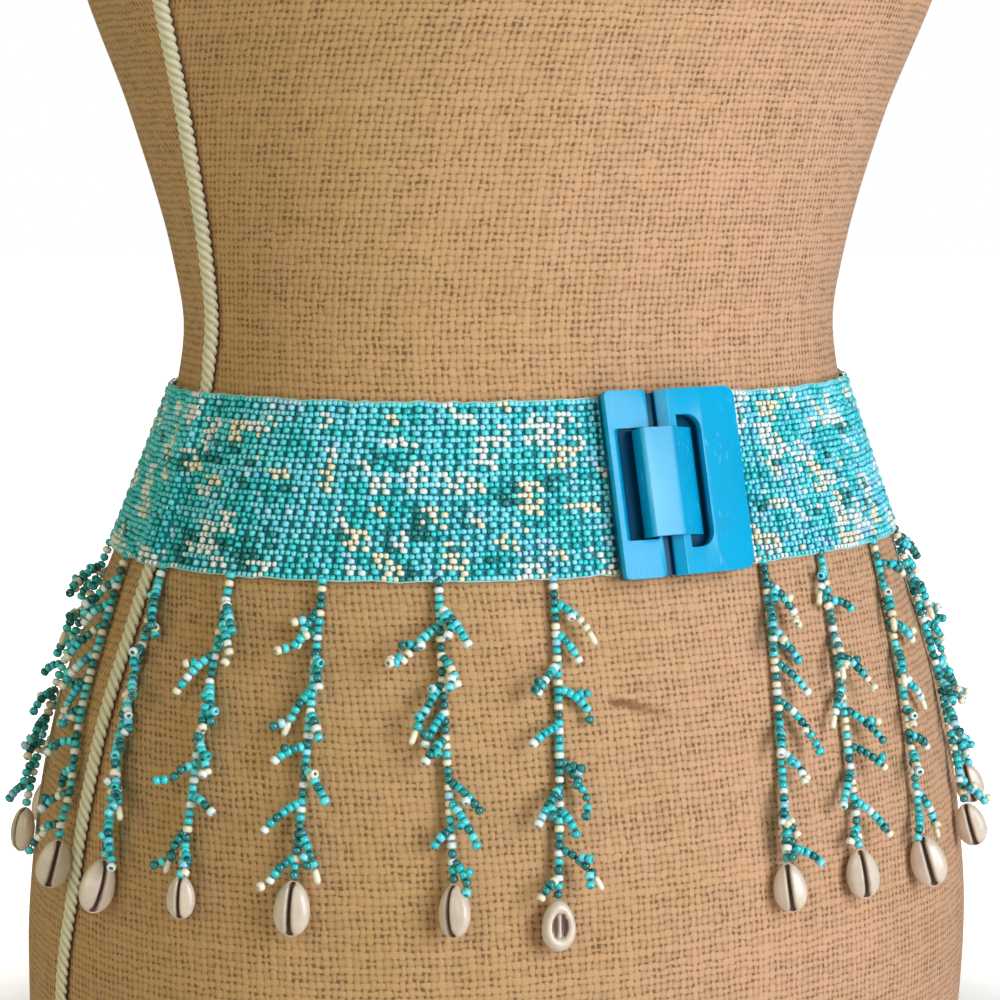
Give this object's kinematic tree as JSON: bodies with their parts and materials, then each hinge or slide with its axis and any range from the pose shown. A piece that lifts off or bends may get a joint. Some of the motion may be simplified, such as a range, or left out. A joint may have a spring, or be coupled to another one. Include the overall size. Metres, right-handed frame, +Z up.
{
  "type": "beaded belt worn on a limbless dress form",
  "caption": "Wide net belt of glass beads with a two-plate hook buckle and a branched bead fringe ending in cowries, worn on a limbless dress form.",
  "frame": {"origin": "centre of the dress form's flat base, on the form's axis, in the plane it stands on", "axes": "+Z up; -Y to the front, where the buckle is; +X to the wearer's left"},
  "size_m": [0.3502, 0.2833, 0.706],
  "materials": {
    "burlap": "coarse plain-woven jute cloth, matte",
    "piping_cord": "cream braided cotton cord, matte",
    "glass_beads": "glossy turquoise, aqua, cream and white glass seed beads",
    "blue_plastic": "moulded, glossy, sky blue",
    "cowrie_shell": null
  },
  "bodies": {
    "root": {"dress_form": "burlap", "piping_right": "piping_cord", "piping_left": "piping_cord", "beaded_band": "glass_beads", "fringe_1": "glass_beads", "fringe_2": "glass_beads", "fringe_3": "glass_beads", "fringe_4": "glass_beads", "fringe_5": "glass_beads", "fringe_6": "glass_beads", "hook_plate": "blue_plastic", "slot_plate": "blue_plastic", "cowrie_01": "cowrie_shell", "cowrie_02": "cowrie_shell", "cowrie_03": "cowrie_shell", "cowrie_04": "cowrie_shell", "cowrie_05": "cowrie_shell", "cowrie_06": "cowrie_shell", "cowrie_07": "cowrie_shell", "cowrie_08": "cowrie_shell", "cowrie_09": "cowrie_shell", "cowrie_10": "cowrie_shell", "cowrie_11": "cowrie_shell", "cowrie_12": "cowrie_shell", "cowrie_13": "cowrie_shell", "cowrie_14": "cowrie_shell", "cowrie_15": "cowrie_shell", "cowrie_16": "cowrie_shell", "cowrie_17": "cowrie_shell", "cowrie_18": "cowrie_shell", "cowrie_19": "cowrie_shell", "cowrie_20": "cowrie_shell", "cowrie_21": "cowrie_shell"}
  },
  "joints": []
}
